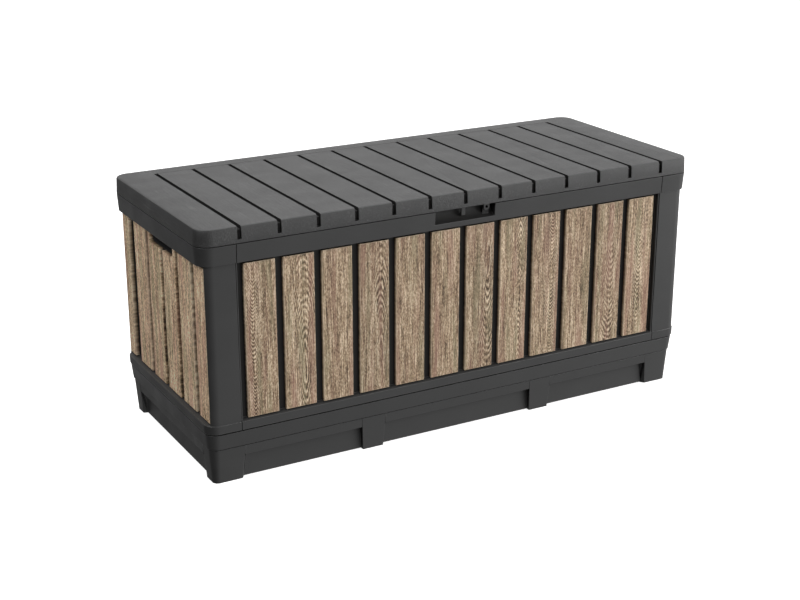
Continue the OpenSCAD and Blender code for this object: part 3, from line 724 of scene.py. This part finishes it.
def plank_surface(width, height, random, cut):
    """A slab with rounded front edges and ends. Its outline at one level, front face then back
    face, has matching points; it is carried up the plank, drawn in along a quarter circle
    at both ends, and closed by bringing front and back together. The face sinks by the
    relief waves. Returns points (across, through, up), faces, log places,
    finishes and the saw cut."""
    s = sizes()
    r, thick = s.plank_edge, s.plank_thickness - 0.1 * MM
    turn = np.linspace(0, math.pi / 2, 4)
    near, clear = 0.3 * MM, 3.0 * MM
    inner = np.linspace(r + clear, width - r - clear, 17)
    inner = np.concatenate([[r, r + near], inner, [width - r - near, width - r]])
    front_u = np.concatenate(
        [[0], r - r * np.cos(turn[1:]), inner[1:-1], width - r + r * np.sin(turn)[:-1], [width]]
    )
    front_v = np.concatenate(
        [[r], r - r * np.sin(turn[1:]), np.zeros(19), r - r * np.cos(turn)[:-1], [r]]
    )
    loop_u = np.concatenate([front_u, front_u[::-1]])
    loop_v = np.concatenate([front_v, np.full(len(front_u), thick)])
    middle = np.linspace(r + clear, height - r - clear, 126)
    middle = np.concatenate([[r, r + near], middle, [height - r - near, height - r]])
    foot, top = r - r * np.cos(turn[1:-1]), height - r + r * np.sin(turn[1:-1])
    levels = np.concatenate([[0, 0], foot, middle, top, [height, height]])
    foot_in, top_in = r - r * np.sin(turn[1:-1]), r - r * np.cos(turn[1:-1])
    draw_in = np.concatenate([[r, r], foot_in, np.zeros(len(middle)), top_in, [r, r]])
    u = np.broadcast_to(loop_u, (len(levels), len(loop_u))).copy()
    w = np.broadcast_to(levels[:, None], u.shape).copy()
    v = np.maximum(loop_v[None, :], draw_in[:, None])
    v[0], v[-1] = thick / 2, thick / 2
    column = np.arange(u.shape[1])
    on_face = (column > 2) & (column < len(front_u) - 3)
    from_edge = np.minimum(np.minimum(u, width - u), np.minimum(w, height - w)) - r
    waves = relief_waves(u, w, random) * s.plank_relief * np.clip(from_edge / clear, 0, 1)
    v[2:-2] += np.where(on_face[None, :], waves[2:-2], 0)
    # The edges waver by a few tenths of a millimetre, inwards only
    waver = (np.sin(w * random.uniform(60, 130)) + np.sin(w * random.uniform(200, 400) + 1) + 2) / 4
    side = np.where(u < width / 2, 1, -1)
    u += np.where(~on_face[None, :], side * waver * 0.3 * MM, 0)
    front = column < len(front_u)
    rounded = front & ~on_face
    film = np.where(front[None, :] & (v < r * 1.02), 1.0, 0.0)
    film[0], film[-1] = 0, 0
    ends = (draw_in[:, None] > 0) & front[None, :]
    # Painted highlight: the rounded edges and ends of the film are mixed toward the pale fleck colour
    painted_edge_highlight = np.where((rounded[None, :] | ends) & (film > 0), 0.55, 0.0)
    place, sawn = log_coordinates(cut, u - width / 2, w, random)
    tone = np.full_like(u, random.uniform(0.93, 1.07))
    finish_and_painted_light = np.stack([film, tone, painted_edge_highlight], -1)
    return np.stack([u, v, w], -1), grid_faces(*u.shape), place, finish_and_painted_light, sawn


def set_vectors(mesh, name, values):
    """Stores one vector for each point under that name."""
    layer = mesh.attributes.get(name) or mesh.attributes.new(name, "FLOAT_VECTOR", "POINT")
    layer.data.foreach_set("vector", np.ascontiguousarray(values, np.float32).ravel())


def turned_to_wall(local, wall, low, high):
    """Turns (across, through, up) into the room: a plank stands on the front, back, left or
    right wall with its face outwards, its lower left corner being that of the CAD node."""
    u, v, w = local[..., 0], local[..., 1], local[..., 2] + low.z
    if wall == "front":
        return np.stack([low.x + u, low.y + v, w], -1)
    if wall == "back":
        return np.stack([high.x - u, high.y - v, w], -1)
    if wall == "left":
        return np.stack([low.x + v, high.y - u, w], -1)
    return np.stack([high.x - v, low.y + u, w], -1)


def clip_boxes(wall, low, high):
    """The two clip tongues behind a plank: boxes from inside it to its CAD node's back."""
    width = (high.x - low.x) if wall in ("front", "back") else (high.y - low.y)
    deep = (high.y - low.y) if wall in ("front", "back") else (high.x - low.x)
    corners = np.array([[a, b, c] for a in (0, 1) for b in (0, 1) for c in (0, 1)], float)
    faces = np.array(
        [[0, 1, 3, 2], [4, 6, 7, 5], [0, 4, 5, 1], [2, 3, 7, 6], [0, 2, 6, 4], [1, 5, 7, 3]]
    )
    points, quads = [], []
    front = sizes().plank_thickness - CLIP_SINK
    for level in (CLIP_FROM_END, high.z - low.z - CLIP_FROM_END):
        start = np.array([width / 2 - CLIP_HALF_WIDTH, front, level - CLIP_HALF_HEIGHT])
        extent = np.array([2 * CLIP_HALF_WIDTH, deep - front, 2 * CLIP_HALF_HEIGHT])
        quads.append(faces + 8 * len(points))
        points.append(start + corners * extent)
    return np.concatenate(points), np.concatenate(quads)


def build_plank(node, wall, cut, number, tone):
    """One plank in place of its CAD node."""
    random = np.random.default_rng(PLANK_SEED + number)
    low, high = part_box(node)
    width = (high.x - low.x) if wall in ("front", "back") else (high.y - low.y)
    local, faces, place, finish_and_painted_light, sawn = plank_surface(width, high.z - low.z, random, cut)
    # The tone takes the wall's factor; for the end planks that factor is painted light
    finish_and_painted_light[..., 1] *= tone
    clip_points, clip_faces = clip_boxes(wall, low, high)
    count = local.shape[0] * local.shape[1]
    points = np.concatenate([local.reshape(-1, 3), clip_points])
    quads = np.concatenate([faces, clip_faces + count])
    mesh = mesh_from(node + "_board", turned_to_wall(points, wall, low, high), quads)
    set_vectors(mesh, "log_place", np.concatenate([place.reshape(-1, 3), clip_points]))
    dark = np.zeros((len(clip_points), 3))
    dark[:, 1] = 1.0
    set_vectors(mesh, "plank_print_and_painted_light", np.concatenate([finish_and_painted_light.reshape(-1, 3), dark]))
    set_vectors(mesh, "saw_cut", np.tile(sawn, (len(points), 1)))
    tidy(mesh)
    smooth(mesh, PLANK_SMOOTH)
    return place_piece(node + "_board", mesh, [printed_oak_film()], node, "box")


# ---- Mouldings ----


def merged_copy(node, name):
    """A copy of a CAD node's mesh with its loose triangles merged and its flat faces joined."""
    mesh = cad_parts[node].data.copy()
    mesh.name = name
    shape = bmesh.new()
    shape.from_mesh(mesh)
    bmesh.ops.remove_doubles(shape, verts=shape.verts, dist=2e-6)
    bmesh.ops.dissolve_degenerate(shape, edges=shape.edges, dist=1e-6)
    bmesh.ops.dissolve_limit(shape, angle_limit=math.radians(0.6), verts=shape.verts, edges=shape.edges)
    shape.to_mesh(mesh)
    shape.free()
    for layer in list(mesh.uv_layers):
        mesh.uv_layers.remove(layer)
    if "custom_normal" in mesh.attributes:
        mesh.attributes.remove(mesh.attributes["custom_normal"])
    mesh.update()
    return mesh


def mark_round_edges(mesh, least_turn):
    """Gives bevel weight to the long edges where two faces meet at an outward angle of more
    than least_turn, and leaves every edge near a shorter one sharp."""
    shape = bmesh.new()
    shape.from_mesh(mesh)
    shortest = sizes().shortest_edge
    weight = shape.edges.layers.float.get("bevel_weight_edge") or shape.edges.layers.float.new(
        "bevel_weight_edge"
    )
    for edge in shape.edges:
        ok = len(edge.link_faces) == 2 and edge.calc_face_angle(0.0) > least_turn
        ok = ok and edge.calc_length() > shortest
        if ok:
            for other in (
                near for point in edge.verts for near in point.link_edges if near is not edge
            ):
                if other.calc_length() < shortest / 2 and other.calc_face_angle(0.0) > least_turn:
                    ok = False
        edge[weight] = 1.0 if ok else 0.0
    shape.to_mesh(mesh)
    shape.free()


def build_moulding(node, body, materials, painted_shade_faces=None):
    """One injection moulding in place of its CAD node: its sharp edges are rounded, the
    rounded strips take the lighter edge resin, a painted highlight, and the given picker
    chooses, from arrays of face centres and normals, the faces that take the painted shade
    of the recesses."""
    mesh = merged_copy(node, node + "_moulding")
    mark_round_edges(mesh, ROUNDED_TURN)
    smooth(mesh, MOULDING_SMOOTH)
    finish_and_painted_light = np.zeros(len(mesh.polygons), np.int32)
    if painted_shade_faces is not None:
        picked = painted_shade_faces(vectors_of(mesh.polygons, "center"), vectors_of(mesh.polygons, "normal"))
        # Index 2 is the painted shade of the recesses
        finish_and_painted_light[picked] = 2
    piece = place_piece(node + "_moulding", mesh, materials, node, body)
    mesh.polygons.foreach_set("material_index", finish_and_painted_light)
    round_off = piece.modifiers.new("rounded_edges", "BEVEL")
    round_off.width = sizes().moulding_edge
    round_off.segments = sizes().edge_steps
    round_off.limit_method = "WEIGHT"
    round_off.use_clamp_overlap = False
    round_off.harden_normals = True
    # The rounded strips take material 1, the painted edge highlight
    round_off.material = 1
    return piece


def recess_of_wall(sign):
    """Picks the recess behind the planks of the front (sign -1) or back (sign 1) panel, and the padlock
    scoop, which take painted shade.
    """
    face = abs(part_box("front_plank_01")[0].y) - sizes().plank_thickness

    def pick(centres, normals):
        flat = np.abs(centres[:, 1] - sign * face) < 0.2 * MM
        scoop = (centres[:, 2] > SCOOP_FOOT) & (np.abs(centres[:, 0]) < SCOOP_HALF_WIDTH)
        scoop &= centres[:, 1] * sign < CAD_BOX[1][1] - 1.5 * MM
        return (flat & (normals[:, 1] * sign > 0.9)) | scoop

    return pick


def recess_of_end(sign):
    """Picks the recess behind the planks of the left (sign -1) or right (sign 1) end, which takes
    painted shade.
    """
    face = abs(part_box("left_plank_1")[0].x) - sizes().plank_thickness

    def pick(centres, normals):
        flat = np.abs(centres[:, 0] - sign * face) < 0.2 * MM
        return flat & (normals[:, 0] * sign > 0.9)

    return pick


def lid_grooves(centres, normals):
    """Picks the floors and sides of the grooves between the lid boards, which take painted shade."""
    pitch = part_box("front_plank_02")[0].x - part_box("front_plank_01")[0].x
    half = sizes().groove_width / 2
    top, front = CAD_BOX[1][2], CAD_BOX[0][1]
    off = np.abs((centres[:, 0] + 0.5 * pitch) % pitch - 0.5 * pitch)
    inside = (off < half + 0.1 * MM) & (np.abs(centres[:, 0]) < 6.5 * pitch)
    below = (centres[:, 2] < top - 1.5 * MM) & (centres[:, 2] > top - 10 * MM)
    behind = (centres[:, 1] > front + 1.6 * MM) & (centres[:, 1] < front + 10 * MM) & (
        centres[:, 2] > top - 30 * MM
    )
    return inside & (below | behind)


def build_notched_plank(node, wall, number):
    """A plank that the hand hold cuts into: the CAD node's merged shape with rounded edges,
    sawn askew beside the heart of its log, so its log places follow its points exactly."""
    mesh = merged_copy(node, node + "_board")
    mark_round_edges(mesh, ROUNDED_TURN)
    points = vectors_of(mesh.vertices, "co")
    low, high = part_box(node)
    random = np.random.default_rng(PLANK_SEED + number)
    sign = -1 if wall == "left" else 1
    across = sign * (points[:, 1] - (low.y + high.y) / 2)
    face = low.x if wall == "left" else high.x
    through = np.abs(points[:, 0] - face)
    place, sawn = log_coordinates("tilted", across, points[:, 2], random)
    set_vectors(mesh, "log_place", place)
    set_vectors(mesh, "saw_cut", np.tile(sawn, (len(points), 1)))
    film = np.where(through < sizes().plank_edge * 1.05, 1.0, 0.0)
    # The end planks' painted light
    tone = np.full(len(points), END_PAINTED_LIGHT_TONE)
    set_vectors(mesh, "plank_print_and_painted_light", np.stack([film, tone, np.zeros(len(points))], -1))
    smooth(mesh, MOULDING_SMOOTH)
    return place_piece(node + "_board", mesh, [printed_oak_film()], node, "box")


# ---- Pins and screws ----


def lathe(profile, steps):
    """A profile of (distance along, radius) points turned round the axis. Returns an array of
    (along, sideways, upwards) points, one row for each profile point, and its faces."""
    along, radius = np.array(profile, float).T
    angle = np.arange(steps) * 2 * math.pi / steps
    points = np.stack(
        [
            np.broadcast_to(along[:, None], (len(along), steps)),
            radius[:, None] * np.cos(angle),
            radius[:, None] * np.sin(angle),
        ],
        -1,
    )
    return points, grid_faces(len(along), steps)


def build_pin(node):
    """A headed pin along X: domed head, straight shank, chamfered tip."""
    low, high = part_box(node)
    head_r = (high.z - low.z) / 2
    length = high.x - low.x
    dome = np.linspace(0, math.pi / 2, 7)
    profile = [(PIN_DOME * (1 - math.cos(a)), head_r * math.sin(a)) for a in dome]
    profile += [(PIN_HEAD, head_r), (PIN_HEAD, PIN_SHANK_RADIUS)]
    profile += [(length - PIN_TIP_LENGTH, PIN_SHANK_RADIUS), (length, PIN_SHANK_RADIUS - PIN_TIP_DEPTH)]
    profile += [(length, 0.0)]
    points, faces = lathe(profile, sizes().pin_steps)
    points = points + np.array([low.x, (low.y + high.y) / 2, (low.z + high.z) / 2])
    mesh = mesh_from(node + "_turned", points, faces)
    tidy(mesh)
    smooth(mesh, TURNED_SMOOTH)
    return place_piece(node + "_turned", mesh, [zinc_plated_steel()], node, "box")


def screw_surface(steps):
    """A pan-head screw along its own axis, head first: the head is a flattened dome that
    sinks by a cross-shaped recess, deepest at the middle, where the distance to the nearer
    arm is small and the radius is under the cross's reach."""
    radii = np.concatenate([np.linspace(0, 3.2, 17), [3.6, 3.9, 4.0, 4.0]]) * MM
    crown = np.concatenate(
        [0.5 * (1 - np.sqrt(1 - (np.linspace(0, 3.2, 17) / 4.0) ** 2)), [0.35, 0.65, 1.1, 2.4]]
    ) * MM
    angle = np.arange(steps) * 2 * math.pi / steps
    y = radii[:, None] * np.cos(angle)
    z = radii[:, None] * np.sin(angle)
    arm = np.minimum(np.abs(y), np.abs(z))
    inside = np.clip((CROSS_HALF_WIDTH - arm) / (0.15 * MM), 0, 1)
    inside = inside * np.clip((CROSS_REACH - radii[:, None]) / (0.3 * MM), 0, 1)
    along = crown[:, None] + inside * (CROSS_DEPTH * (1 - radii[:, None] / (4.5 * MM)))
    head = np.stack([along, y, z], -1)
    end = SCREW_HEAD + SCREW_SHANK
    shank = [(SCREW_HEAD, SCREW_SHANK_RADIUS), (end - SCREW_TIP, SCREW_SHANK_RADIUS)]
    shank += [(end, SCREW_TIP_RADIUS), (end, 0.0)]
    shank_points, _ = lathe(shank, steps)
    points = np.concatenate([head, shank_points])
    return points, grid_faces(points.shape[0], steps)


def build_screws():
    """The twelve panel screws, in one piece as in their CAD node."""
    node = "panel_screws"
    low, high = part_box(node)
    plank_low, plank_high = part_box("front_plank_01")
    one, faces = screw_surface(sizes().pin_steps // 4 * 4)
    tall = plank_high.z - plank_low.z
    x = high.x - SCREW_HEAD_RADIUS
    inner = SCREW_HEAD + SCREW_SHANK
    points, quads = [], []
    for side in (-1, 1):
        for back in (-1, 1):
            for share in SCREW_SHARES:
                start = back * ((high.y if back > 0 else -low.y) - inner)
                place = np.stack(
                    [
                        side * x + one[..., 1], start + back * one[..., 0],
                        plank_low.z + share * tall + one[..., 2],
                    ], -1
                ).reshape(-1, 3)
                quads.append(faces + len(points) * len(place))
                points.append(place)
    mesh = mesh_from(node + "_turned", np.concatenate(points), np.concatenate(quads))
    tidy(mesh)
    smooth(mesh, TURNED_SMOOTH)
    return place_piece(node + "_turned", mesh, [zinc_plated_steel()], node, "box")


# ---- Stage ----


def soft_box(name, place, target, size, power):
    """A rectangular soft light that faces a point."""
    light = bpy.data.lights.new(name, "AREA")
    light.shape = "RECTANGLE"
    light.size, light.size_y = size
    light.energy = power
    lamp = bpy.data.objects.new(name, light)
    lamp.location = place
    lamp.rotation_euler = (Vector(target) - Vector(place)).to_track_quat("-Z", "Y").to_euler()
    bpy.context.scene.collection.objects.link(lamp)
    return lamp


# ---- Operators ----


class DECKBOX_OT_long_planks(bpy.types.Operator):
    """Builds the twelve front and twelve back planks"""

    bl_idname = "deckbox.long_planks"
    bl_label = "Front and back planks"

    def execute(self, context):
        for i, (front, back) in enumerate(zip(FRONT_PLANKS, BACK_PLANKS)):
            build_plank(front, "front", FRONT_CUTS[i], i, FRONT_TONE)
            build_plank(back, "back", BACK_CUTS[i], 20 + i, FRONT_TONE)
        return {"FINISHED"}


class DECKBOX_OT_end_planks(bpy.types.Operator):
    """Builds the six planks of each end, two of them cut away by the hand hold"""

    bl_idname = "deckbox.end_planks"
    bl_label = "End planks"

    def execute(self, context):
        for i, (left, right) in enumerate(zip(LEFT_PLANKS, RIGHT_PLANKS)):
            for wall, node, number in (("left", left, 40 + i), ("right", right, 60 + i)):
                if node in NOTCHED:
                    build_notched_plank(node, wall, number)
                else:
                    build_plank(node, wall, END_CUTS[i], number, END_PAINTED_LIGHT_TONE)
        return {"FINISHED"}


class DECKBOX_OT_walls(bpy.types.Operator):
    """Builds the four wall panels"""

    bl_idname = "deckbox.walls"
    bl_label = "Wall panels"

    def execute(self, context):
        for node, painted_shade_faces in (
            ("front_panel", recess_of_wall(-1)),
            ("back_panel", recess_of_wall(1)),
            ("left_end_panel", recess_of_end(-1)),
            ("right_end_panel", recess_of_end(1)),
        ):
            build_moulding(node, "box", graphite_resin(), painted_shade_faces)
        return {"FINISHED"}


class DECKBOX_OT_base(bpy.types.Operator):
    """Builds the footed base tray"""

    bl_idname = "deckbox.base"
    bl_label = "Base tray"

    def execute(self, context):
        build_moulding("base_tray", "box", graphite_resin())
        return {"FINISHED"}


class DECKBOX_OT_lid(bpy.types.Operator):
    """Builds the lid's outer shell and its inner plate"""

    bl_idname = "deckbox.lid"
    bl_label = "Lid"

    def execute(self, context):
        build_moulding("lid_top", "lid", lid_resin(), lid_grooves)
        build_moulding("lid_liner", "lid", inner_resin())
        return {"FINISHED"}


class DECKBOX_OT_lock(bpy.types.Operator):
    """Builds the locating tongue and the padlock eye under the lid's front"""

    bl_idname = "deckbox.lock"
    bl_label = "Tongue and padlock eye"

    def execute(self, context):
        build_moulding("lid_tongue", "lid", graphite_resin())
        build_moulding("padlock_eye", "lid", graphite_resin())
        return {"FINISHED"}


class DECKBOX_OT_pins(bpy.types.Operator):
    """Builds the three hinge pins"""

    bl_idname = "deckbox.pins"
    bl_label = "Hinge pins"

    def execute(self, context):
        for node in HINGE_PINS:
            build_pin(node)
        return {"FINISHED"}


class DECKBOX_OT_screws(bpy.types.Operator):
    """Builds the twelve panel screws"""

    bl_idname = "deckbox.screws"
    bl_label = "Panel screws"

    def execute(self, context):
        build_screws()
        return {"FINISHED"}


class DECKBOX_OT_stage(bpy.types.Operator):
    """Builds the pale floor, the soft lights and the camera"""

    bl_idname = "deckbox.stage"
    bl_label = "Floor, lights and camera"

    def execute(self, context):
        scene = context.scene
        studio = scene.deckbox_studio
        half = FLOOR_HALF
        corners = np.array([[-half, -half, 0], [half, -half, 0], [half, half, 0], [-half, half, 0]])
        mesh = mesh_from("floor", corners, np.array([[0, 1, 2, 3]]))
        mesh.materials.append(painted_floor())
        floor = bpy.data.objects.new("floor", mesh)
        scene.collection.objects.link(floor)
        # The table shows and takes shadows, but throws no light back up at the box
        floor.visible_diffuse = False
        floor.visible_glossy = False

        for name, place, target, size, power in (
            ("top_softbox", (0.3, 0.9, 3.2), (0, 0.3, 0.5), (4.0, 2.2), studio.top_light),
            ("front_right_softbox", (3.2, -2.3, 1.2), (0, 0, 0.2), (2.2, 1.8), studio.front_light),
            ("high_left_softbox", (-2.8, -0.9, 2.4), (-0.5, 0, 0.3), (1.8, 1.6), studio.left_light),
        ):
            soft_box(name, place, target, size, power)

        world = bpy.data.worlds.new("soft_surround")
        world.use_nodes = True
        scene.world = world
        tree = world.node_tree
        tree.nodes.clear()
        direction = add(tree, "SeparateXYZ", {0: add(tree, "TexCoord").outputs["Generated"]})
        # Dim from the left, and somewhat from below, brighter from the right and overhead
        sideways = add(
            tree, "MapRange",
            {
                "Value": direction.outputs[0], "From Min": -0.65, "From Max": 0.35, "To Min": 0.06,
                "To Max": 1.05,
            },
        )
        upwards = add(
            tree, "MapRange",
            {
                "Value": direction.outputs[2], "From Min": -0.15, "From Max": 0.45,
                "To Min": 0.75 * studio.sky, "To Max": studio.sky,
            },
        )
        level = add(tree, "Math", {0: sideways.outputs[0], 1: upwards.outputs[0]}, operation="MULTIPLY")
        background = add(
            tree, "Background", {"Color": (1.0, 1.0, 1.0, 1.0), "Strength": level.outputs[0]}
        )
        add(tree, "OutputWorld", {"Surface": background.outputs[0]})

        lens = bpy.data.cameras.new("camera")
        lens.lens = studio.lens
        lens.sensor_width = SENSOR_WIDTH
        camera = bpy.data.objects.new("camera", lens)
        scene.collection.objects.link(camera)
        a, e = studio.azimuth, studio.elevation
        back = Vector((math.sin(a) * math.cos(e), -math.cos(a) * math.cos(e), math.sin(e)))
        camera.location = Vector(studio.target) + back * studio.distance
        camera.rotation_euler = (-back).to_track_quat("-Z", "Y").to_euler()
        scene.camera = camera
        scene.view_settings.view_transform = "Standard"
        return {"FINISHED"}


class DECKBOX_PT_panel(bpy.types.Panel):
    """Lists the pieces and their settings"""

    bl_idname = "DECKBOX_PT_panel"
    bl_label = "Deck storage box"
    bl_space_type = "VIEW_3D"
    bl_region_type = "UI"
    bl_category = "Deck box"

    def draw(self, context):
        layout = self.layout
        for operator in OPERATORS:
            layout.operator(operator.bl_idname)
        for group in (
            context.scene.deckbox_sizes, context.scene.deckbox_colours, context.scene.deckbox_studio
        ):
            box = layout.box()
            for name in group.__annotations__:
                box.prop(group, name)


OPERATORS = (
    DECKBOX_OT_stage,
    DECKBOX_OT_base,
    DECKBOX_OT_walls,
    DECKBOX_OT_long_planks,
    DECKBOX_OT_end_planks,
    DECKBOX_OT_lid,
    DECKBOX_OT_lock,
    DECKBOX_OT_pins,
    DECKBOX_OT_screws,
)
GROUPS = (DeckBoxSizes, DeckBoxColours, DeckBoxStudio)


def register():
    for entry in (*GROUPS, *OPERATORS, DECKBOX_PT_panel):
        bpy.utils.register_class(entry)
    bpy.types.Scene.deckbox_sizes = PointerProperty(type=DeckBoxSizes)
    bpy.types.Scene.deckbox_colours = PointerProperty(type=DeckBoxColours)
    bpy.types.Scene.deckbox_studio = PointerProperty(type=DeckBoxStudio)


def unregister():
    del bpy.types.Scene.deckbox_studio
    del bpy.types.Scene.deckbox_colours
    del bpy.types.Scene.deckbox_sizes
    for entry in reversed((*GROUPS, *OPERATORS, DECKBOX_PT_panel)):
        bpy.utils.unregister_class(entry)


def main():
    """Builds every piece in order."""
    register()
    for operator in OPERATORS:
        group, name = operator.bl_idname.split(".")
        getattr(getattr(bpy.ops, group), name)()


if __name__ == "__main__":
    main()
